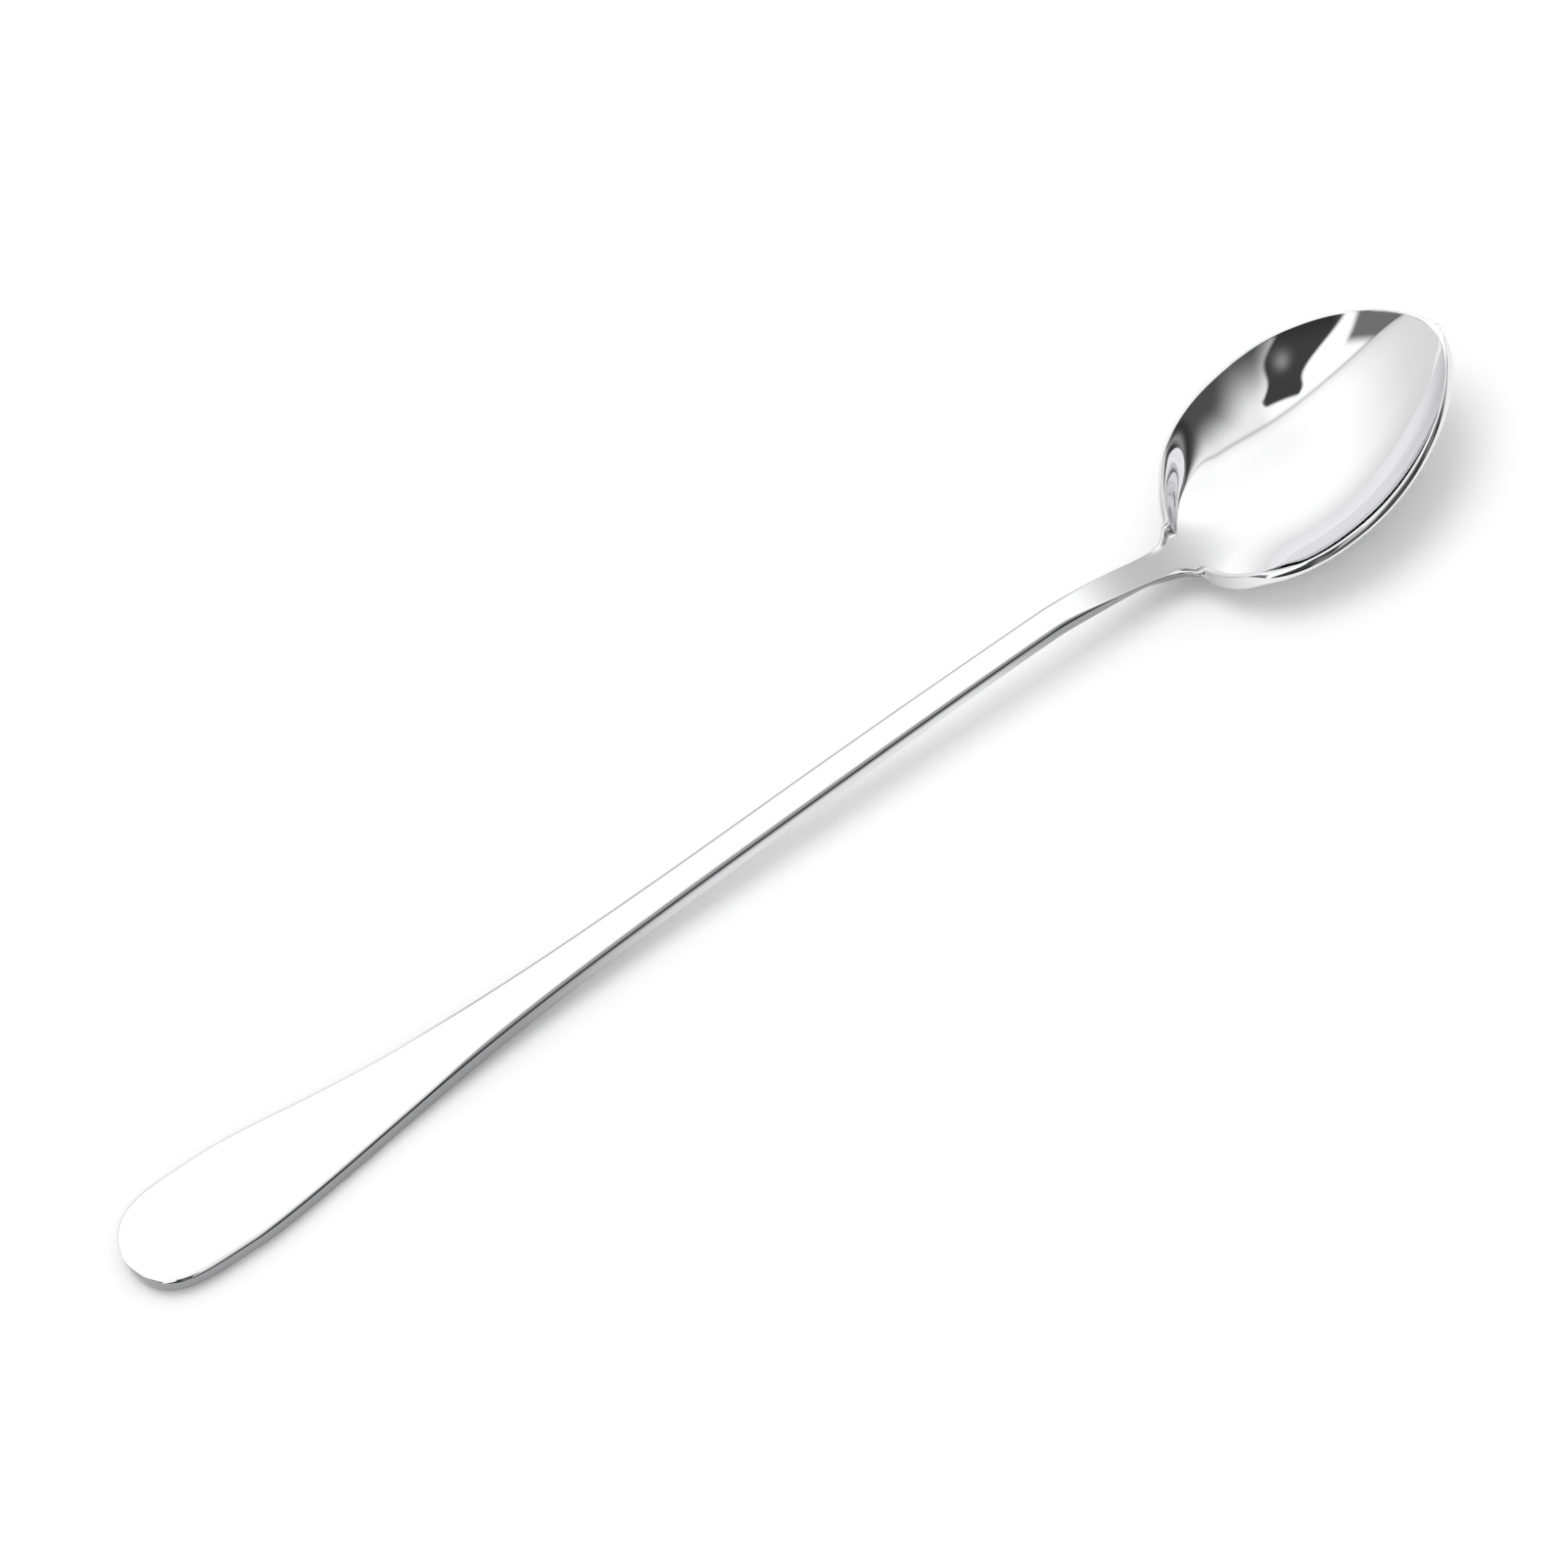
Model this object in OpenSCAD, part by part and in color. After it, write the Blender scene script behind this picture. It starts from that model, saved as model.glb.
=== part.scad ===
// Long-handled iced tea spoon, worked from one piece of stainless steel.
// X runs from the handle end to the bowl tip, Z is up, and the spoon rests on Z = 0
// on the underside of its handle end and on the lowest point of its bowl.

/* [Overall] */
// Length from the handle end to the bowl tip
spoon_len = 190; // [160:1:230]

/* [Handle end] */
// Greatest width of the flat handle end
end_width = 15.1; // [10:0.1:22]
// Length of the round end, from its tip to its widest point
end_len = 14.8; // [8:0.2:24]
// How blunt the round end is: 2 is an ellipse, more is squarer
end_bluntness = 4.9; // [2:0.1:8]
// Length over which the flat end narrows into the shank
taper_len = 26.8; // [14:0.2:40]
// How the taper falls away: 1 is exponential, 2 is a bell
taper_fall = 1.5; // [1:0.1:2]
// Thickness of the flat end
end_thick = 2.4; // [1.2:0.1:3.5]
// Distance from the tip to the bend where the handle leaves the table
bend_at = 33; // [26:1:45]
// Length over which that bend is eased
bend_len = 16; // [4:1:24]
// How far the tip of the handle lifts off the table
end_lift = 0.5; // [0:0.1:2]

/* [Shank and neck] */
// Width of the shank
shank_width = 4.2; // [2.5:0.1:7]
// Thickness of the shank where it is thickest
shank_thick = 2.8; // [1.5:0.1:4]
// Distance from the tip to the thickest place
thick_at = 70; // [50:1:90]
// Width of the neck
neck_width = 3.9; // [2:0.1:6]
// Thickness of the neck
neck_thick = 2.1; // [1.2:0.1:3.5]
// Distance from the neck's highest place to the bowl's heel
neck_len = 18; // [10:0.5:30]
// How far the neck stands above the rim at the heel
neck_rise = 1.5; // [0.5:0.1:6]
// Length over which the shank arches before the neck
arch_len = 38; // [10:1:60]
// How far the arch falls short of a straight shank
arch_drop = 0.7; // [0:0.1:3]
// Extra half width where the neck opens into the bowl
flare_width = 2.5; // [0.5:0.1:6]
// Length over which the neck opens
flare_len = 1.4; // [0.5:0.1:6]

/* [Bowl] */
// Greatest width of the bowl
bowl_width = 31.2; // [20:0.1:42]
// Length from the bowl's heel to its widest place
heel_len = 18.3; // [12:0.2:30]
// Length from the bowl's widest place to its tip
tip_len = 21.2; // [14:0.2:34]
// Depth from the rim line down to the underside
bowl_depth = 9.8; // [5:0.1:14]
// Angle of the rim line to the table
bowl_angle = 10.5; // [0:0.5:20]
// Thickness of the bowl's floor
bowl_wall = 1.5; // [0.8:0.1:2.5]
// How far the hull's deepest place stands nearer the tip than the widest place
deep_shift = 2; // [0:0.5:4]
// How far the hollow's lowest place stands nearer the neck than the widest place
low_shift = 2.3; // [0:0.1:5]
// Slope of the hull's wall just below the rim, as an angle to the rim's plane
hull_angle = 74; // [50:1:85]
// Thickness of the edge at the bowl's tip
rim_thick = 1.4; // [1:0.1:2]
// Width of the rim, from its outer edge to the hollow
rim_width = 1.25; // [0.9:0.05:2]
// Length from the deepest place back to where the underside leaves the neck
keel_len = 26.5; // [20:0.5:34]

/* [Edges] */
// Rounding of the upper edges
edge_round = 0.4; // [0.1:0.05:0.5]
// Rounding of the rim's outer edge
rim_round = 1.1; // [0.4:0.05:1.5]
// Rounding of the rim's inner edge
lip_round = 0.15; // [0.05:0.05:0.4]
// Rounding of the handle's lower edges
under_round = 0.8; // [0.2:0.1:1]

/* [Hidden] */

// Places along the spoon
mid_x = spoon_len - tip_len;
heel_x = mid_x - heel_len;
crest_x = heel_x - neck_len;
arch_x = crest_x - arch_len;
deep_x = mid_x + deep_shift;
low_x = mid_x - low_shift;

// Curve exponents of the bowl's outline, of its depth along the length and of its hollow's section,
// and of the line down which the neck's top runs into the hollow
tip_curve = 1.83;
tip_root = 0.58;
heel_curve = 2.4;
heel_root = 0.45;
floor_tip_curve = 2.2;
floor_tip_root = 0.85;
floor_heel_curve = 1.6;
floor_heel_root = 1.1;
hollow_curve = 2.7;
run_curve = 1.5;
run_root = 2.2;
blend_power = 4;

// Shares of the local width: the flat middle of the handle, and the least hollow at the tip
flat_share = 0.7;
tip_hollow_share = 0.3;
// Most of a local width or thickness that an edge rounding may take, above and below
round_share = 0.25;
under_share = 0.4;
// Shares of the rim's width for its outer and inner rounding, and where its rounding begins
rim_share = 0.85;
lip_share = 0.15;
rim_blend = 6;
// How softly the neck's edge meets the rim, and over what lengths that starts and fades
meet_round = 0.35;
meet_start = 6;
meet_fade = 10;
// How near both outlines come to closing before a small flat ends them
close_share = 0.998;

// Counts of steps along each stretch and round the section
end_steps = 13;
taper_steps = 20;
shank_steps = 8;
neck_steps = 19;
heel_steps = 15;
tip_steps = 19;
side_steps = 9;
corner_steps = 4;
edge_steps = 3;

function smooth(v) = let (c = max(0, min(1, v))) c * c * (3 - 2 * c);
function mix(a, b, k) = a + (b - a) * k;
function soft_max(a, b) = pow(pow(a, blend_power) + pow(b, blend_power), 1 / blend_power);
// A quarter curve that falls from 1 at v = 0 to 0 at v = 1
function fall(v, curve, root) = pow(max(0, 1 - pow(max(0, min(1, v)), curve)), root);
// A round dish, 1 deep in the middle and 0 at its rim, where its wall stands at that angle
function dish(v, angle) =
    (sqrt(1 - pow(max(0, min(1, v)) * sin(angle), 2)) - cos(angle)) / (1 - cos(angle));

// Half width of the round end, which a blunt superellipse closes
function end_half(x) = end_width / 2 * sqrt(1 - pow(close_share * max(0, 1 - x / end_len), end_bluntness));

// Half width of the shank, which eases from its own width to the neck's
function shank_half(x) = mix(shank_width, neck_width, smooth((x - arch_x) / arch_len)) / 2;

// Half width of the handle, with the flare that opens into the bowl
function handle_half(x) =
    x < end_len ? end_half(x)
    : shank_half(x)
        + (end_width / 2 - shank_half(x)) * exp(-pow((x - end_len) / taper_len, taper_fall))
        + flare_width * exp(-max(0, heel_x - x) / flare_len);

// Half width of the bowl, or of its hollow when inset is the width of the rim
function bowl_half(x, inset) =
    (bowl_width / 2 - inset)
    * (x > mid_x ? fall(close_share * (x - mid_x) / (tip_len - inset), tip_curve, tip_root)
                 : fall((mid_x - x) / (heel_len - inset), heel_curve, heel_root));

function outer_half(x) = x > mid_x ? bowl_half(x, 0) : soft_max(handle_half(x), bowl_half(x, 0));
function hollow_half(x) =
    x > mid_x ? max(bowl_half(x, rim_width), tip_hollow_share * bowl_half(x, 0))
              : soft_max(flat_share * handle_half(x), bowl_half(x, rim_width));

// Thickness of the handle from its end to the neck
function handle_thick(x) =
    mix(mix(end_thick, shank_thick, smooth((x - end_len) / (thick_at - end_len))), neck_thick,
        smooth((x - thick_at) / (crest_x - thick_at)));

// Depth of the underside below the top line
function outer_depth(x) =
    x > deep_x
    ? mix(rim_thick, bowl_depth,
          fall((x - deep_x) / (spoon_len - deep_x), floor_tip_curve, floor_tip_root))
    : mix(handle_thick(x), bowl_depth,
          fall((deep_x - x) / keel_len, floor_heel_curve, floor_heel_root));

// Steps of x from a to b, spread evenly, or drawn in towards b or towards a like a cosine
function even(a, b, n) = [for (k = [0:n - 1]) mix(a, b, k / n)];
function drawn_to_end(a, b, n) = [for (k = [0:n]) mix(a, b, sin(90 * k / n))];
function drawn_to_start(a, b, n) = [for (k = [0:n - 1]) mix(a, b, 1 - cos(90 * k / n))];

// Where the sections stand: close together at both tips, the bend, the neck and the heel
stations = concat(
    drawn_to_start(0, end_len, end_steps),
    even(end_len, thick_at, taper_steps),
    even(thick_at, arch_x + arch_len / 2, shank_steps),
    even(arch_x + arch_len / 2, heel_x, neck_steps),
    drawn_to_start(heel_x, mid_x, heel_steps),
    drawn_to_end(mid_x, spoon_len, tip_steps));

// The rim is a straight line at the bowl's angle, at the height where the bowl touches the table
rim_slope = tan(bowl_angle);
rim_height = -min([for (x = stations) if (x > crest_x) rim_slope * (x - mid_x) - outer_depth(x)]);
function rim_line(x) = rim_height + rim_slope * (x - mid_x);

// The top of the handle: a lifted flat end, an eased bend, a straight shank and an arch
crest_height = rim_line(heel_x) + neck_rise;
end_slope = -end_lift / bend_at;
function slope_from(h) = (crest_height + arch_drop - h) / (crest_x - bend_at);
function bend_ease(d) =
    let (half = bend_len / 2)
    d < -half ? 0 : d > half ? d : pow(d + half, 2) / (2 * bend_len);
function bend_curve(x, slope) = end_slope * (x - bend_at) + (slope - end_slope) * bend_ease(x - bend_at);

// The height of the bend at which the lowest place of the handle's underside meets the table
first_slope = slope_from(handle_thick(bend_at));
bend_height = -min([for (x = stations) if (x < arch_x) bend_curve(x, first_slope) - handle_thick(x)]);
function handle_line(x) =
    bend_height + bend_curve(x, slope_from(bend_height))
    - arch_drop * pow(max(0, x - arch_x) / arch_len, 2);

// The middle of the top: it runs down from the neck's crest into the hollow, and up to the tip
hollow_end = spoon_len - rim_width;
function floor_line(x) =
    x < low_x
    ? mix(bowl_wall, handle_line(x), fall((x - crest_x) / (low_x - crest_x), run_curve, run_root))
    : mix(rim_line(hollow_end), bowl_wall,
          fall((x - low_x) / (hollow_end - low_x), floor_tip_curve, floor_tip_root));

// The edge of the top: the handle's, then the higher of the floor and the rim, softly joined
function top_line(x) =
    let (f = floor_line(x), r = rim_line(x),
         soft = meet_round * smooth((x - crest_x) / meet_start) * smooth((mid_x - x) / meet_fade))
    x < crest_x ? f : x > mid_x ? r : (f + r) / 2 + sqrt(pow((f - r) / 2, 2) + pow(soft, 2));
function hollow_depth(x) = max(0, top_line(x) - floor_line(x));

// Step i of the underside from the edge to the middle: flat with round corners on the handle,
// and a round hull on the bowl
function flat_under(i, w, deep, r) =
    i > corner_steps
    ? [(w - r) * (side_steps - i) / (side_steps - corner_steps), -deep]
    : let (a = 90 * (i - 1) / (corner_steps - 1))
      [w - r + r * cos(a), r - deep - r * sin(a)];
function round_under(i, w, deep, r) =
    let (v = cos(90 * i / side_steps))
    [w * v, -r - (deep - r) * dish(v, hull_angle)];

// One half of a section, from the middle of the top round to the middle of the underside
function half_section(x) =
    let (
        w = outer_half(x), inner = hollow_half(x), deep = outer_depth(x), hollow = hollow_depth(x),
        bowl = smooth((x - crest_x) / neck_len),
        rim = smooth((x - heel_x + rim_blend) / rim_blend),
        r = min(mix(edge_round, rim_round, rim), rim_share * (w - inner), round_share * w,
                under_share * 2 * deep),
        under = min(under_round, under_share * min(w, deep)),
        lip = min(lip_round, lip_share * (w - inner), hollow * round_share),
        up = [0, top_line(x)])
    concat(
        [for (k = [0:side_steps])
            let (v = sin(90 * k / side_steps))
            up + [inner * v, -lip - (hollow - lip) * (1 - pow(v, hollow_curve))]],
        [up + [inner + lip, 0]],
        [for (a = [0:90 / edge_steps:90]) up + [w - r + r * sin(a), r * cos(a) - r]],
        [for (i = [1:side_steps])
            up + mix(flat_under(i, w, deep, under), round_under(i, w, deep, r), bowl)]);
function section(x) =
    let (half = half_section(x), last = len(half) - 1)
    concat(half, [for (k = [last - 1:-1:1]) [-half[k][0], half[k][1]]]);

// Solid through a row of closed sections that all have the same number of points
module loft(xs) {
    rings = [for (x = xs) section(x)];
    n = len(rings);
    m = len(rings[0]);
    caps = [for (i = [0, n - 1]) [xs[i], 0, rings[i][0][1] - outer_depth(xs[i]) / 2]];
    points = concat([for (i = [0:n - 1]) for (q = rings[i]) [xs[i], q[0], q[1]]], caps);
    sides = [for (i = [0:n - 2]) for (j = [0:m - 1])
        let (a = i * m + j, b = i * m + (j + 1) % m, c = b + m, d = a + m)
        each [[a, b, c], [a, c, d]]];
    first = [for (j = [0:m - 1]) [n * m, (j + 1) % m, j]];
    last = [for (j = [0:m - 1]) [n * m + 1, (n - 1) * m + j, (n - 1) * m + (j + 1) % m]];
    polyhedron(points, concat(sides, first, last));
}

module spoon() {
    color([0.78, 0.79, 0.80])
        translate([-spoon_len / 2, 0, 0])
            loft(stations);
}

spoon();
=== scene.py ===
"""Polished iced tea spoon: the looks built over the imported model."""
import math

import bmesh
import bpy
from mathutils import Matrix, Vector


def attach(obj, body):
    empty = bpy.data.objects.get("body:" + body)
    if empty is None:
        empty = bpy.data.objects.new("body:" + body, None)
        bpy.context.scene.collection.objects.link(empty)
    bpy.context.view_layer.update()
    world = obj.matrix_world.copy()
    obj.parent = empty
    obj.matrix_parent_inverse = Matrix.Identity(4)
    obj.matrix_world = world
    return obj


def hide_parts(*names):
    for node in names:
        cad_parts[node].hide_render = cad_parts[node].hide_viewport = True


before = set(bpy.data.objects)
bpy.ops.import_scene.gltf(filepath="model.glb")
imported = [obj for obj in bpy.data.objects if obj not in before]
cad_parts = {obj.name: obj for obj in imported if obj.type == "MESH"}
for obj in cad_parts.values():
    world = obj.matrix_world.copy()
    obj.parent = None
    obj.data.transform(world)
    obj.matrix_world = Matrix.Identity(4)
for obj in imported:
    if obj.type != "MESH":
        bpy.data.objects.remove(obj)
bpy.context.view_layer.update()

MM = 1000.0

# Sizes in mm and angles in degrees, with x measured from the handle end
SPOON_LEN = 190.0
END_WIDTH, END_LEN, END_BLUNTNESS = 15.1, 14.8, 4.9
TAPER_LEN, TAPER_FALL = 26.8, 1.5
END_THICK, BEND_AT, BEND_LEN, END_LIFT = 2.4, 33.0, 16.0, 0.5
SHANK_WIDTH, SHANK_THICK, THICK_AT = 4.2, 2.8, 70.0
NECK_WIDTH, NECK_THICK, NECK_LEN, NECK_RISE = 3.9, 2.1, 18.0, 1.5
ARCH_LEN, ARCH_DROP = 38.0, 0.7
FLARE_WIDTH, FLARE_LEN = 2.5, 1.4
BOWL_WIDTH, HEEL_LEN, TIP_LEN = 31.2, 18.3, 21.2
BOWL_DEPTH, BOWL_ANGLE, BOWL_WALL = 9.8, 10.5, 1.5
RIM_THICK, RIM_WIDTH, KEEL_LEN = 1.4, 0.85, 26.5
DEEP_SHIFT, LOW_SHIFT = 2.0, 2.3

# Powers of the curves: the outline's two ends, the underside's two, and the hollow floor's two
TIP_CURVE, TIP_ROOT = 1.83, 0.58
HEEL_CURVE, HEEL_ROOT = 2.4, 0.45
FLOOR_TIP_CURVE, FLOOR_TIP_ROOT = 2.2, 0.85
FLOOR_HEEL_CURVE, FLOOR_HEEL_ROOT = 1.6, 1.1
SKIN_TIP_CURVE, SKIN_TIP_ROOT = 2.0, 1.0
RUN_CURVE, RUN_ROOT = 1.5, 2.2
BLEND_POWER = 4.0

# The hollow across the spoon. In the neck it is a flat channel with narrow shoulders, whose edges
# climb to the rim only at the bowl.
FLAT_SHARE, TIP_HOLLOW_SHARE, HOLLOW_CURVE = 0.5, 0.3, 2.7
NECK_SHARE, NECK_FLAT, NECK_FADE, NECK_BACK = 0.92, 0.7, 10.0, -1.0
CLIMB_FROM, CLIMB_LEN = 147.5, 8.5

# The underside's slope at the rim, gentler at the heel, and where its own edge starts to climb
HULL_ANGLE, HEEL_ANGLE, HEEL_FADE, HULL_FROM = 70.0, 45.0, 14.0, 145.5

# Rounded edges, how square and how deep they fall, and the most of the metal that each may take
EDGE_ROUND, UNDER_ROUND, RIM_ROUND, LIP_ROUND = 0.8, 0.8, 1.1, 0.15
EDGE_BEVEL, RIM_BEVEL, RIM_FALL, RIM_BLEND = 1.1, 1.5, 1.3, 6.0
LIP_LEAN, LIP_REACH = 0.65, 1.6
ROUND_SHARE, UNDER_SHARE, RIM_SHARE, LIP_SHARE = 0.36, 0.4, 0.76, 0.15

# How far along each end the outline closes, so that the skin ends in a small face
CLOSE_SHARE = 0.998

# Points on the parts of half a section, sections on the parts of the spoon, and steps of a search
SIDE, CORNER, ARC, LIP = 36, 12, 12, 5
END_STEPS, SHANK_STEPS, NECK_STEPS, HEEL_STEPS, TIP_STEPS = 40, 70, 70, 50, 70
SAMPLES = 400

# Points of the skin closer than this, in metres, are one
MERGE_DIST = 1e-7

MID_X = SPOON_LEN - TIP_LEN
HEEL_X = MID_X - HEEL_LEN
DEEP_X = MID_X + DEEP_SHIFT
LOW_X = MID_X - LOW_SHIFT
CREST_X = HEEL_X - NECK_LEN
ARCH_X = CREST_X - ARCH_LEN
HOLLOW_END = SPOON_LEN - RIM_WIDTH


def clamp(v):
    return max(0.0, min(1.0, v))


def smooth(v):
    c = clamp(v)
    return c * c * (3 - 2 * c)


def mix(a, b, k):
    return a + (b - a) * k


def soft_max(a, b):
    return (a**BLEND_POWER + b**BLEND_POWER) ** (1 / BLEND_POWER)


def fall(v, curve, root):
    return max(0.0, 1 - clamp(v) ** curve) ** root


def dish(v, angle):
    """A round dish's depth, 1 in the middle and 0 at its rim, where its wall has that angle."""
    a = math.radians(angle)
    return (math.sqrt(1 - (clamp(v) * math.sin(a)) ** 2) - math.cos(a)) / (1 - math.cos(a))


def quarter(k, steps):
    """The angle after k of the steps that a quarter turn takes."""
    return math.pi / 2 * k / steps


def samples(start, end):
    return [start + (end - start) * k / SAMPLES for k in range(SAMPLES + 1)]


def shank_half(x):
    return mix(SHANK_WIDTH, NECK_WIDTH, smooth((x - ARCH_X) / ARCH_LEN)) / 2


def handle_half(x):
    if x < END_LEN:
        closing = (CLOSE_SHARE * max(0.0, 1 - x / END_LEN)) ** END_BLUNTNESS
        return END_WIDTH / 2 * math.sqrt(1 - closing)
    shank = shank_half(x)
    return (
        shank
        + (END_WIDTH / 2 - shank) * math.exp(-(((x - END_LEN) / TAPER_LEN) ** TAPER_FALL))
        + FLARE_WIDTH * math.exp(-max(0.0, HEEL_X - x) / FLARE_LEN)
    )


def bowl_half(x, inset):
    width = BOWL_WIDTH / 2 - inset
    if x > MID_X:
        return width * fall(CLOSE_SHARE * (x - MID_X) / (TIP_LEN - inset), TIP_CURVE, TIP_ROOT)
    return width * fall((MID_X - x) / (HEEL_LEN - inset), HEEL_CURVE, HEEL_ROOT)


def outer_half(x):
    return bowl_half(x, 0) if x > MID_X else soft_max(handle_half(x), bowl_half(x, 0))


def hollow_half(x):
    if x > MID_X:
        return max(bowl_half(x, RIM_WIDTH), TIP_HOLLOW_SHARE * bowl_half(x, 0))
    share = mix(FLAT_SHARE, NECK_SHARE, smooth((x - CREST_X) / NECK_FADE))
    return soft_max(share * handle_half(x), bowl_half(x, RIM_WIDTH))


def handle_thick(x):
    thick = mix(END_THICK, SHANK_THICK, smooth((x - END_LEN) / (THICK_AT - END_LEN)))
    return mix(thick, NECK_THICK, smooth((x - THICK_AT) / (CREST_X - THICK_AT)))


def outer_depth(x):
    if x > DEEP_X:
        share = fall((x - DEEP_X) / (SPOON_LEN - DEEP_X), FLOOR_TIP_CURVE, FLOOR_TIP_ROOT)
        return mix(RIM_THICK, BOWL_DEPTH, share)
    share = fall((DEEP_X - x) / KEEL_LEN, FLOOR_HEEL_CURVE, FLOOR_HEEL_ROOT)
    return mix(handle_thick(x), BOWL_DEPTH, share)


# This height, and the bend's below, put the lowest point of the underside there on the floor
RIM_SLOPE = math.tan(math.radians(BOWL_ANGLE))
RIM_HEIGHT = -min(RIM_SLOPE * (x - MID_X) - outer_depth(x) for x in samples(CREST_X, SPOON_LEN))


def rim_line(x):
    return RIM_HEIGHT + RIM_SLOPE * (x - MID_X)


CREST_HEIGHT = rim_line(HEEL_X) + NECK_RISE
END_SLOPE = -END_LIFT / BEND_AT


def slope_from(height):
    return (CREST_HEIGHT + ARCH_DROP - height) / (CREST_X - BEND_AT)


def bend_ease(d):
    half = BEND_LEN / 2
    return 0.0 if d < -half else d if d > half else (d + half) ** 2 / (2 * BEND_LEN)


def bend_curve(x, slope):
    return END_SLOPE * (x - BEND_AT) + (slope - END_SLOPE) * bend_ease(x - BEND_AT)


FIRST_SLOPE = slope_from(handle_thick(BEND_AT))
BEND_HEIGHT = -min(bend_curve(x, FIRST_SLOPE) - handle_thick(x) for x in samples(0, ARCH_X))
SHANK_SLOPE = slope_from(BEND_HEIGHT)


def handle_line(x):
    drop = ARCH_DROP * (max(0.0, x - ARCH_X) / ARCH_LEN) ** 2
    return BEND_HEIGHT + bend_curve(x, SHANK_SLOPE) - drop


def floor_line(x):
    if x < LOW_X:
        share = fall((x - CREST_X) / (LOW_X - CREST_X), RUN_CURVE, RUN_ROOT)
        return mix(BOWL_WALL, handle_line(x), share)
    share = fall((x - LOW_X) / (HOLLOW_END - LOW_X), SKIN_TIP_CURVE, SKIN_TIP_ROOT)
    return mix(rim_line(HOLLOW_END), BOWL_WALL, share)


def top_line(x, climb_from=CLIMB_FROM):
    """The height of the edges, which follow the hollow's floor and then climb to the rim."""
    f, r = floor_line(x), rim_line(x)
    if x < CREST_X:
        return f
    if x > MID_X:
        return r
    return f + max(0.0, r - f) * smooth((x - climb_from) / CLIMB_LEN)


def hollow_depth(x):
    return max(0.0, top_line(x) - floor_line(x))


def half_section(x):
    """Points (y, z) from the middle of the top round the edge to the middle of the underside."""
    w, inner = outer_half(x), hollow_half(x)
    deep, hollow, up = outer_depth(x), hollow_depth(x), top_line(x)
    bowl = smooth((x - CREST_X) / NECK_LEN)
    rim = smooth((x - HEEL_X + RIM_BLEND) / RIM_BLEND)
    r = min(
        mix(EDGE_ROUND, RIM_ROUND, rim),
        RIM_SHARE * (w - inner),
        ROUND_SHARE * w,
        UNDER_SHARE * 2 * deep,
    )
    under = min(UNDER_ROUND, UNDER_SHARE * min(w, deep))
    lip = min(LIP_ROUND, LIP_SHARE * (w - inner), hollow * ROUND_SHARE)
    deep -= top_line(x, HULL_FROM) - up

    # The hollow, from a flat channel in the neck to a dish in the bowl
    dished = smooth((x - HEEL_X + NECK_BACK) / NECK_FADE)
    pts = []
    for k in range(SIDE + 1):
        v = math.sin(quarter(k, SIDE))
        channel = 1 - smooth((v - NECK_FLAT) / (1 - NECK_FLAT))
        share = mix(channel, 1 - v**HOLLOW_CURVE, dished)
        pts.append((inner * v, up - lip - (hollow - lip) * share))

    # The rim's inner lip and its round outer edge
    for k in range(1, LIP + 1):
        a = k / LIP
        lean = 2 * a * (1 - a) * LIP_LEAN + a * a * LIP_REACH
        pts.append((inner + lip * lean, up - lip * (1 - a) ** 2))
    bevel, drop = mix(EDGE_BEVEL, RIM_BEVEL, rim), r * mix(1, RIM_FALL, rim)
    for k in range(ARC + 1):
        a = quarter(k, ARC)
        pts.append((w - r + r * math.sin(a) ** bevel, up + drop * (abs(math.cos(a)) ** bevel - 1)))

    # The underside, from flat with a rounded corner to a round hull
    angle = mix(HEEL_ANGLE, HULL_ANGLE, smooth((x - HEEL_X) / HEEL_FADE))
    for i in range(1, SIDE + 1):
        if i > CORNER:
            flat = ((w - under) * (SIDE - i) / (SIDE - CORNER), -deep)
        else:
            a = quarter(i - 1, CORNER - 1)
            flat = (w - under + under * math.cos(a), under - deep - under * math.sin(a))
        v = math.cos(quarter(i, SIDE))
        hull = (w * v, -drop - (deep - drop) * dish(v, angle))
        pts.append((mix(flat[0], hull[0], bowl), up + mix(flat[1], hull[1], bowl)))
    return pts


def stations():
    """Where the sections stand, closer together at the handle end, the heel and the tip."""
    xs = [END_LEN * (1 - math.cos(quarter(k, END_STEPS))) for k in range(END_STEPS)]
    xs += [mix(END_LEN, ARCH_X, k / SHANK_STEPS) for k in range(SHANK_STEPS)]
    xs += [mix(ARCH_X, HEEL_X, k / NECK_STEPS) for k in range(NECK_STEPS)]
    xs += [mix(HEEL_X, MID_X, 1 - math.cos(quarter(k, HEEL_STEPS))) for k in range(HEEL_STEPS)]
    xs += [mix(MID_X, SPOON_LEN, math.sin(quarter(k, TIP_STEPS))) for k in range(TIP_STEPS + 1)]
    return xs


def metres(x, y, z):
    """A point in the shared frame, whose origin is under the middle of the spoon."""
    return (x - SPOON_LEN / 2) / MM, y / MM, z / MM


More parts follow.
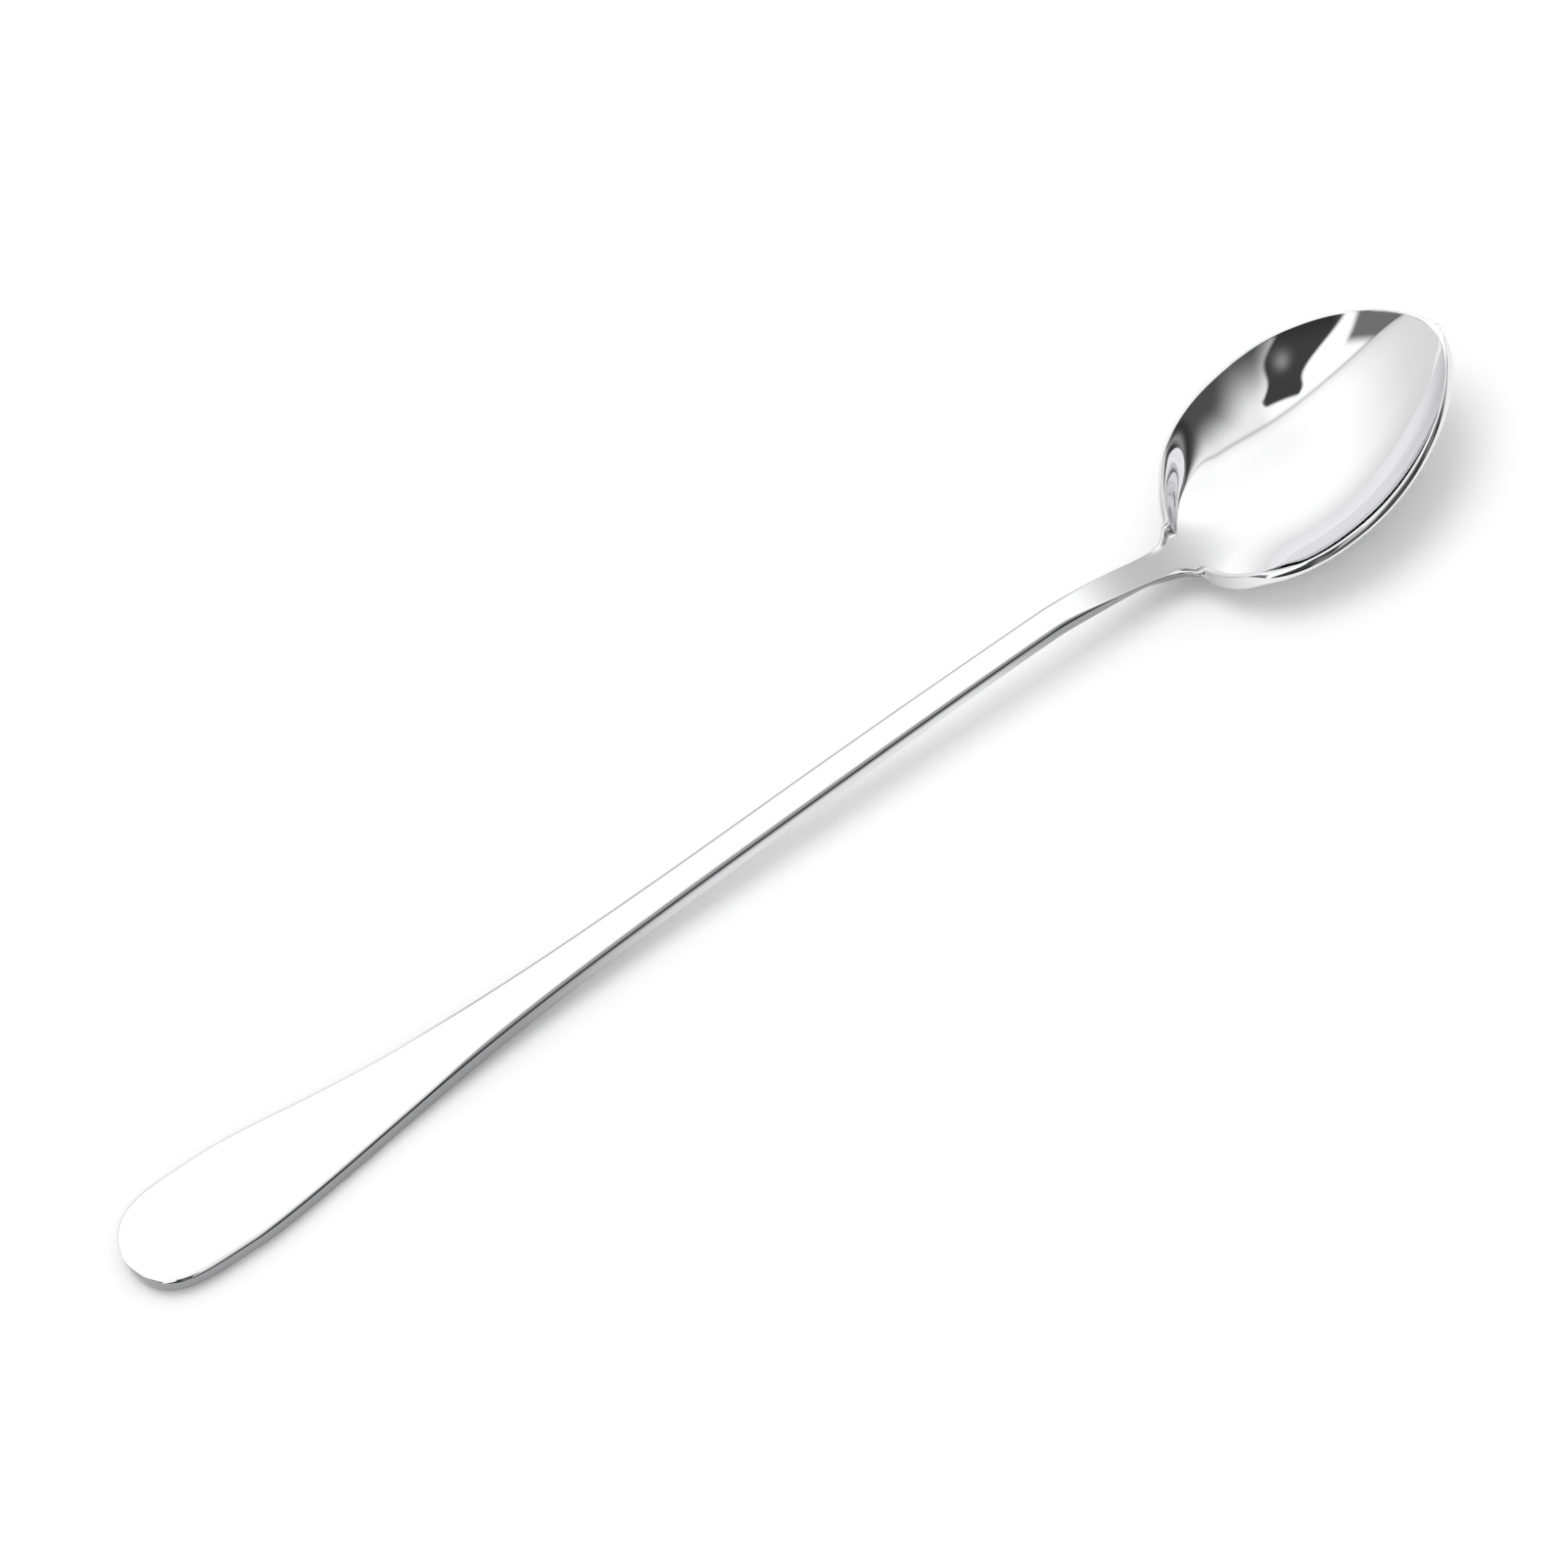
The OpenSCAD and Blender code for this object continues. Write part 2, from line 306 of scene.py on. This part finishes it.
def spoon_mesh():
    xs = stations()
    verts = []
    for x in xs:
        half = half_section(x)
        ring = half + [(-y, z) for y, z in half[-2:0:-1]]
        verts += [metres(x, y, z) for y, z in ring]
    n, m = len(xs), len(verts) // len(xs)
    faces = []
    for i in range(n - 1):
        for j in range(m):
            a, b = i * m + j, i * m + (j + 1) % m
            faces.append((a, b, b + m, a + m))
    for i, first in ((0, True), (n - 1, False)):
        x = xs[i]
        verts.append(metres(x, 0, top_line(x) - outer_depth(x) / 2))
        c = len(verts) - 1
        for j in range(m):
            a, b = i * m + j, i * m + (j + 1) % m
            faces.append((c, b, a) if first else (c, a, b))
    mesh = bpy.data.meshes.new("spoon_polished")
    mesh.from_pydata(verts, [], faces)
    mesh.validate()
    bm = bmesh.new()
    bm.from_mesh(mesh)
    bmesh.ops.remove_doubles(bm, verts=bm.verts, dist=MERGE_DIST)
    bmesh.ops.dissolve_degenerate(bm, edges=bm.edges, dist=MERGE_DIST)
    bmesh.ops.recalc_face_normals(bm, faces=bm.faces)
    bm.to_mesh(mesh)
    bm.free()
    mesh.shade_smooth()
    return mesh


spoon = bpy.data.objects.new("spoon_polished", spoon_mesh())
bpy.context.scene.collection.objects.link(spoon)
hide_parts("spoon")
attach(spoon, "root")


class Field:
    """A value that varies over a surface, held as a node's output. Arithmetic adds Math nodes."""

    def __init__(self, tree, socket):
        self.tree, self.socket = tree, socket

    def math(self, operation, *values, swap=False):
        node = self.tree.nodes.new("ShaderNodeMath")
        node.operation = operation
        values = (*values, self) if swap else (self, *values)
        for value, slot in zip(values, node.inputs):
            join(self.tree, value, slot)
        return Field(self.tree, node.outputs[0])

    def __add__(self, other):
        return self.math("ADD", other)

    def __sub__(self, other):
        return self.math("SUBTRACT", other)

    def __rsub__(self, other):
        return self.math("SUBTRACT", other, swap=True)

    def __mul__(self, other):
        return self.math("MULTIPLY", other)

    __radd__, __rmul__ = __add__, __mul__

    def __truediv__(self, other):
        return self.math("DIVIDE", other)

    def __abs__(self):
        return self.math("ABSOLUTE")

    def bell(self, width):
        """1 where the number is 0, fading like a bell of that width."""
        v = self / width
        return (0 - v * v).math("EXPONENT")


def join(tree, value, slot):
    if isinstance(value, Field):
        tree.links.new(value.socket, slot)
    else:
        slot.default_value = value


def parts(tree, vector):
    """A vector's x, y and z."""
    node = tree.nodes.new("ShaderNodeSeparateXYZ")
    tree.links.new(vector, node.inputs[0])
    return [Field(tree, socket) for socket in node.outputs]


def step(low, high, value):
    """0 below low, 1 above high, and eased between them."""
    node = value.tree.nodes.new("ShaderNodeMapRange")
    node.interpolation_type = "SMOOTHSTEP"
    for number, name in ((value, "Value"), (low, "From Min"), (high, "From Max")):
        join(value.tree, number, node.inputs[name])
    return Field(value.tree, node.outputs["Result"])


def band(a, b, c, d, value):
    """0 below a, 1 from b to c, and 0 above d."""
    return step(a, b, value) * (1 - step(c, d, value))


# Polished steel: roughness and colour where it is clear and where it is cloudy, then the polishing
# lines, stretched along the spoon. A pair is where a change starts and where it ends.
CLEAR_ROUGH, CLOUD_ROUGH = 0.02, 0.05
CLEAR_COLOR, CLOUD_COLOR = (0.785, 0.785, 0.792, 1), (0.82, 0.82, 0.828, 1)
CLOUD_SCALE, CLOUD_STRETCH, CLOUD_DETAIL = 60, (1, 1, 1), 2
CLOUD_ROUGH_AT, CLOUD_COLOR_AT = (0.35, 0.7), (0.3, 0.7)
LINE_SCALE, LINE_STRETCH, LINE_DETAIL = 900, (0.08, 1, 1), 3
LINE_AT, LINE_ROUGH, LINE_BUMP, LINE_DEPTH = (0.6, 0.75), 0.03, 0.008, 0.0001

# The handle's edges get painted dark reflections. Their base colour is darkened, which paints the
# dark lines and grey side bands that reflections would give, and their roughness is raised. The
# edges are told by how far up the skin looks, and along UPPER_SPAN only their upper part is
# darkened. Places are x in m.
PAINTED_DARK_EDGE_COLOR, EDGE_ROUGH = (0.33, 0.33, 0.335, 1), 0.1
HANDLE_TO, SHANK_FROM = (0.052, 0.061), (-0.062, -0.045)
END_UP, SHANK_UP, UPPER_UP = (0.4, 0.65), (0.86, 0.97), (-0.1, 0.35)
UPPER_SPAN = (-0.045, -0.01, 0.022, 0.04)


def steel():
    """Mirror polish: nearly smooth, with faint lengthwise polishing lines, cloudier patches, and
    painted dark reflections along the handle's edges.
    """
    mat = bpy.data.materials.new("polished_steel")
    mat.use_nodes = True
    nt = mat.node_tree
    bsdf = nt.nodes["Principled BSDF"]
    bsdf.inputs["Metallic"].default_value = 1.0
    place = nt.nodes.new("ShaderNodeTexCoord").outputs

    def noise(scale, stretch, detail):
        mapping = nt.nodes.new("ShaderNodeMapping")
        mapping.inputs["Scale"].default_value = stretch
        nt.links.new(place["Object"], mapping.inputs["Vector"])
        node = nt.nodes.new("ShaderNodeTexNoise")
        node.inputs["Scale"].default_value = scale
        node.inputs["Detail"].default_value = detail
        nt.links.new(mapping.outputs["Vector"], node.inputs["Vector"])
        return Field(nt, node.outputs["Fac"])

    def tint(color, other, share):
        node = nt.nodes.new("ShaderNodeMix")
        node.data_type = "RGBA"
        for value, name in ((color, "A"), (other, "B"), (share, "Factor")):
            join(nt, value, node.inputs[name])
        return Field(nt, node.outputs["Result"])

    lines = noise(LINE_SCALE, LINE_STRETCH, LINE_DETAIL)
    cloud = noise(CLOUD_SCALE, CLOUD_STRETCH, CLOUD_DETAIL)
    x, up = parts(nt, place["Object"])[0], parts(nt, place["Normal"])[2]
    shank = step(*SHANK_FROM, x)
    low, high = (mix(a, b, shank) for a, b in zip(END_UP, SHANK_UP))
    # The handle's edges, where the base colour is darkened to paint dark reflections and the
    # roughness is raised
    painted_dark_edge = (1 - step(*HANDLE_TO, x)) * (1 - step(low, high, abs(up)))
    painted_dark_edge = painted_dark_edge * mix(1, step(*UPPER_UP, up), band(*UPPER_SPAN, x))
    rough = mix(CLEAR_ROUGH, CLOUD_ROUGH, step(*CLOUD_ROUGH_AT, cloud))
    rough = rough + step(*LINE_AT, lines) * LINE_ROUGH + painted_dark_edge * EDGE_ROUGH
    join(nt, rough, bsdf.inputs["Roughness"])
    color = tint(CLEAR_COLOR, CLOUD_COLOR, step(*CLOUD_COLOR_AT, cloud))
    # Painted dark reflections: the handle's edges take the darker base colour
    join(nt, tint(color, PAINTED_DARK_EDGE_COLOR, painted_dark_edge), bsdf.inputs["Base Color"])
    bump = nt.nodes.new("ShaderNodeBump")
    bump.inputs["Strength"].default_value = LINE_BUMP
    bump.inputs["Distance"].default_value = LINE_DEPTH
    join(nt, lines, bump.inputs["Height"])
    nt.links.new(bump.outputs["Normal"], bsdf.inputs["Normal"])
    return mat


spoon.data.materials.append(steel())

# The stage, in metres: the tent's radius and its middle's x, then half the floor's width and the
# gap that it leaves under the spoon
DOME_RADIUS, DOME_AT = 12.0, 0.07
DOME_TURNS, DOME_ROWS = 32, 10
FLOOR_HALF, FLOOR_GAP = 24.0, 0.00005
FLOOR_COLOR = (0.95, 0.95, 0.95, 1)


def stage_mesh(name, verts, faces, material):
    mesh = bpy.data.meshes.new(name)
    mesh.from_pydata(verts, [], faces)
    mesh.materials.append(material)
    obj = bpy.data.objects.new(name, mesh)
    bpy.context.scene.collection.objects.link(obj)
    return obj


def floor():
    mat = bpy.data.materials.new("floor")
    mat.use_nodes = True
    shader = mat.node_tree.nodes["Principled BSDF"]
    shader.inputs["Base Color"].default_value = FLOOR_COLOR
    shader.inputs["Roughness"].default_value = 1.0
    shader.inputs["Specular IOR Level"].default_value = 0.0
    s, low = FLOOR_HALF, -FLOOR_GAP
    corners = [(-s, -s, low), (s, -s, low), (s, s, low), (-s, s, low)]
    stage_mesh("floor", corners, [(0, 1, 2, 3)], mat)


# The tent's light. Angles are in degrees: up from the floor, and towards the bowl's tip from
# straight ahead (front) or straight behind (back). Levels are shares of white. A pair is where a
# change starts and where it ends, and (place, width) is a bell.
DEG = 180 / math.pi
FRONT_HALF = (90, 91)

# The walls, and how they dim below a slanting brink past the bowl's tip
WALL_FOOT, WALL_SIDE, WALL_TOP = 0.86, 1.27, 1.2
WALL_FOOT_AT, WALL_TOP_AT = (6, 52), (58, 88)
BRINK, BRINK_BACK, BRINK_SLOPE, BRINK_LIFT = 47, 33, 0.22, 2
DIM_NEAR, DIM_FAR, SPREAD_NEAR, SPREAD_FAR = 0.38, 0.58, 18, 30
DIM_FAR_AT, DIM_SPAN = (45, 80), (28, 44, 85, 130)

# The roof's straight front seam, with a haze round it and a thin dark line on it
SEAM_RISE, SEAM_LIFT, SEAM_BLUR = 1.75, 2, 1.5
HAZE_WIDTH, HAZE_SHARE, SEAM_WIDTH, SEAM_SHARE = 9, 0.14, 2.2, 0.34

# The open front: the dark room and its pale top, with the height from which it pales and that at
# which it is pale, each on the card's side and on the far side
ROOM_DARK, ROOM_PALE, ROOM_FAR_AT = 0.09, 1.05, (-4, 14)
PALE_FROM, PALE_TO = (9, 26), (47, 56)
CARD_LEVEL, CARD_AT, CARD_LEAN, CARD_LEAN_EL = 1.25, (-24, -4), 0.35, 40
CORNER_LEVEL, CORNER_SPAN, CORNER_TOP = 0.2, (-91, -88, -64, -60), (17, 24)

# Rings of light about one spot in the room
RING_FRONT, RING_EL, RING_SQUEEZE, RING_AT = 73, 8, 0.7, (24, 34)
RING_DARK_1, RING_DARK_2, RING_GLOW = (17, 5), (35, 6), (26, 4)
RING_SHARE_1, RING_SHARE_2, RING_GLOW_SHARE = 0.75, 0.5, 0.22
SPOT_WIDTH, SPOT_SHARE = 9, 0.75

# The camera on its stand: its middle and half its width, low down and high up
STAND_LOW, STAND_HIGH, STAND_AT = -42, -27, (0, 36)
STAND_WIDE, STAND_NARROW, STAND_NARROW_AT = 15, 12, (0, 40)
WAVE_TURN, WAVE_WIDTH, WAVE_SHIFT = 14, 0.96, 0.8
HEAD_BELL, HEAD_WIDTH, HEAD_TOP = (43, 6), 3, (46, 49.5)
STAND_BLUR, STAND_LEVEL = 1.5, 0.06
GAP_FRONT, GAP_EL, GAP_SHARE = (-27, 4), (22, 5), 0.25

# The front's foot, darker except at the left end and by the rings
FOOT_LEVEL, FOOT_AT = 0.5, (2, 18)
LEFT_END, LEFT_LIFT, SPOT_LIFT_WIDTH, SPOT_LIFT = (-58, -50), 50, 12, 60


def bell(value, place, width):
    """1 where the value is at that place, fading like a bell of that width."""
    return (value - place).bell(width)


def tent_walls(el, back):
    """The walls and the roof, as bright as they are at each height and turn."""
    upper = mix(WALL_SIDE, WALL_TOP, step(*WALL_TOP_AT, el))
    walls = mix(WALL_FOOT, upper, step(*WALL_FOOT_AT, el))
    brink = BRINK + (back - BRINK_BACK) * BRINK_SLOPE
    far = step(*DIM_FAR_AT, back)
    lowest = brink - mix(SPREAD_NEAR, SPREAD_FAR, far) + BRINK_LIFT
    dim = mix(mix(DIM_NEAR, DIM_FAR, far), 1, step(lowest, brink + BRINK_LIFT, el))
    return walls * mix(1, dim, band(*DIM_SPAN, back))


def tent_stand(el, front, room):
    """The room with the camera on its stand in front of it."""
    wave = (el * (WAVE_TURN / DEG)).math("SINE")
    width = mix(STAND_WIDE, STAND_NARROW, step(*STAND_NARROW_AT, el))
    width = width - wave * WAVE_WIDTH + bell(el, *HEAD_BELL) * HEAD_WIDTH
    middle = mix(STAND_LOW, STAND_HIGH, step(*STAND_AT, el))
    beside = abs(front - middle + wave * WAVE_SHIFT) - width
    dark = (1 - step(-STAND_BLUR, STAND_BLUR, beside)) * (1 - step(*HEAD_TOP, el))
    gap = bell(front, *GAP_FRONT) * bell(el, *GAP_EL)
    return mix(room, gap * GAP_SHARE + STAND_LEVEL, dark)


def tent_front(el, front):
    """What shows under the roof's seam: a white card, the camera before it, and the dark room."""
    far = step(*ROOM_FAR_AT, front)
    room = mix(ROOM_DARK, ROOM_PALE, step(mix(*PALE_FROM, far), mix(*PALE_TO, far), el))
    from_front, from_el = front - RING_FRONT, el - RING_EL
    ring = (from_front * from_front * RING_SQUEEZE + from_el * from_el).math("SQRT")
    stripes = 1 - bell(ring, *RING_DARK_1) * RING_SHARE_1 - bell(ring, *RING_DARK_2) * RING_SHARE_2
    ringed = step(*RING_AT, front)
    room = room * mix(1, stripes, ringed) + ring.bell(SPOT_WIDTH) * SPOT_SHARE
    room = room + bell(ring, *RING_GLOW) * ringed * RING_GLOW_SHARE
    room = mix(CARD_LEVEL, room, step(*CARD_AT, front - (el - CARD_LEAN_EL) * CARD_LEAN))
    room = mix(room, CORNER_LEVEL, band(*CORNER_SPAN, front) * (1 - step(*CORNER_TOP, el)))
    room = tent_stand(el, front, room)
    lift = (1 - step(*LEFT_END, front)) * LEFT_LIFT + ring.bell(SPOT_LIFT_WIDTH) * SPOT_LIFT
    return room * mix(FOOT_LEVEL, 1, step(*FOOT_AT, el + lift))


def tent_light(x, y, z):
    """Light from each direction: a white tent, open at the front under its roof's seam."""
    el = z.math("ARCSINE") * DEG
    front = x.math("ARCTAN2", 0 - y) * DEG
    back = x.math("ARCTAN2", y) * DEG
    inside = 1 - step(*FRONT_HALF, abs(front))
    seam = ((front * (1 / DEG)).math("COSINE") * SEAM_RISE).math("ARCTANGENT") * DEG + SEAM_LIFT
    above = step(seam - SEAM_BLUR, seam + SEAM_BLUR, el)
    roof = tent_walls(el, back) * (1 - (el - seam).bell(HAZE_WIDTH) * inside * HAZE_SHARE)
    light = mix(roof, tent_front(el, front), (1 - above) * inside)
    return light * (1 - (el - seam).bell(SEAM_WIDTH) * inside * SEAM_SHARE)


def dome():
    """The corners and faces of half a ball round the bowl."""
    verts, faces = [(DOME_AT, 0, DOME_RADIUS)], []
    for i in range(1, DOME_ROWS + 1):
        tilt = quarter(i, DOME_ROWS)
        out, height = DOME_RADIUS * math.sin(tilt), DOME_RADIUS * math.cos(tilt)
        for k in range(DOME_TURNS):
            a = 2 * math.pi * k / DOME_TURNS
            verts.append((DOME_AT + out * math.cos(a), out * math.sin(a), height))
    for k in range(DOME_TURNS):
        after = (k + 1) % DOME_TURNS
        faces.append((0, 1 + k, 1 + after))
        for i in range(DOME_ROWS - 1):
            a, b = 1 + i * DOME_TURNS + k, 1 + i * DOME_TURNS + after
            faces.append((a, a + DOME_TURNS, b + DOME_TURNS, b))
    return verts, faces


def tent():
    """A dome round the spoon that only its reflections see."""
    mat = bpy.data.materials.new("tent")
    mat.use_nodes = True
    nt = mat.node_tree
    nt.nodes.remove(nt.nodes["Principled BSDF"])
    glow = nt.nodes.new("ShaderNodeEmission")
    nt.links.new(glow.outputs[0], nt.nodes["Material Output"].inputs["Surface"])
    away = nt.nodes.new("ShaderNodeVectorMath")
    away.operation = "SUBTRACT"
    away.inputs[1].default_value = (DOME_AT, 0, 0)
    nt.links.new(nt.nodes.new("ShaderNodeNewGeometry").outputs["Position"], away.inputs[0])
    unit = nt.nodes.new("ShaderNodeVectorMath")
    unit.operation = "NORMALIZE"
    nt.links.new(away.outputs[0], unit.inputs[0])
    join(nt, tent_light(*parts(nt, unit.outputs[0])), glow.inputs["Strength"])
    mat.cycles.emission_sampling = "NONE"
    obj = stage_mesh("tent", *dome(), mat)
    obj.visible_camera = obj.visible_diffuse = obj.visible_shadow = False


# The lamp's direction and angle in degrees, and the lamp's and the world's shares of the light. The
# camera and reflections see the world at a strength of 1, which is white.
LAMP_AZ, LAMP_EL, LAMP_ANGLE, LAMP_SHARE = 84.0, 80.0, 38.0, 0.27
SKY_SHARE = 0.86


def light():
    """A soft lamp high behind the spoon for its shadow, and a plain white world."""
    lamp = bpy.data.lights.new("lamp", "SUN")
    lamp.energy = LAMP_SHARE * math.pi
    lamp.angle = math.radians(LAMP_ANGLE)
    obj = bpy.data.objects.new("lamp", lamp)
    az, el = math.radians(LAMP_AZ), math.radians(LAMP_EL)
    toward = Vector((math.cos(az) * math.cos(el), math.sin(az) * math.cos(el), math.sin(el)))
    obj.rotation_euler = toward.to_track_quat("Z", "Y").to_euler()
    obj.visible_glossy = False
    bpy.context.scene.collection.objects.link(obj)
    world = bpy.data.worlds.new("studio")
    bpy.context.scene.world = world
    world.use_nodes = True
    nt = world.node_tree
    sky = nt.nodes["Background"]
    sky.inputs["Color"].default_value = (1, 1, 1, 1)
    rays = nt.nodes.new("ShaderNodeLightPath").outputs
    seen = Field(nt, rays["Is Camera Ray"])
    for kind in ("Is Glossy Ray", "Is Transmission Ray"):
        seen = seen.math("MAXIMUM", Field(nt, rays[kind]))
    join(nt, mix(SKY_SHARE, 1.0, seen), sky.inputs["Strength"])


floor()
tent()
light()

# The camera: angles in degrees, distance, aim and shift in mm, focal length in the image's pixels,
# and how far it sees in metres
AZ, EL, ROLL, DIST, FOCAL = 9.425, 55.002, 25.832, 1387.35, 12000.0
AIM, OFF = (0, 0, 5), (-0.844, 2.601)
IMAGE_SIZE, SENSOR, CLIP_END = 1601, 36.0, 20


def camera():
    """The photograph's viewing angle, fitted to the spoon's outline."""
    a, e, r = math.radians(AZ), math.radians(EL), math.radians(ROLL)
    pos = Vector((-math.sin(a) * math.cos(e), -math.cos(a) * math.cos(e), math.sin(e)))
    level = Vector((math.cos(a), -math.sin(a), 0))
    upright = pos.cross(level)
    right = level * math.cos(r) - upright * math.sin(r)
    up = level * math.sin(r) + upright * math.cos(r)
    cam = bpy.data.cameras.new("camera")
    cam.sensor_width = SENSOR
    cam.lens = FOCAL / IMAGE_SIZE * SENSOR
    cam.clip_end = CLIP_END
    obj = bpy.data.objects.new("camera", cam)
    turn = Matrix((right, up, pos)).transposed().to_4x4()
    place = (Vector(AIM) + pos * DIST + right * OFF[0] + up * OFF[1]) / MM
    obj.matrix_world = Matrix.Translation(place) @ turn
    bpy.context.scene.collection.objects.link(obj)
    bpy.context.scene.camera = obj


camera()
bpy.context.scene.view_settings.view_transform = "Standard"
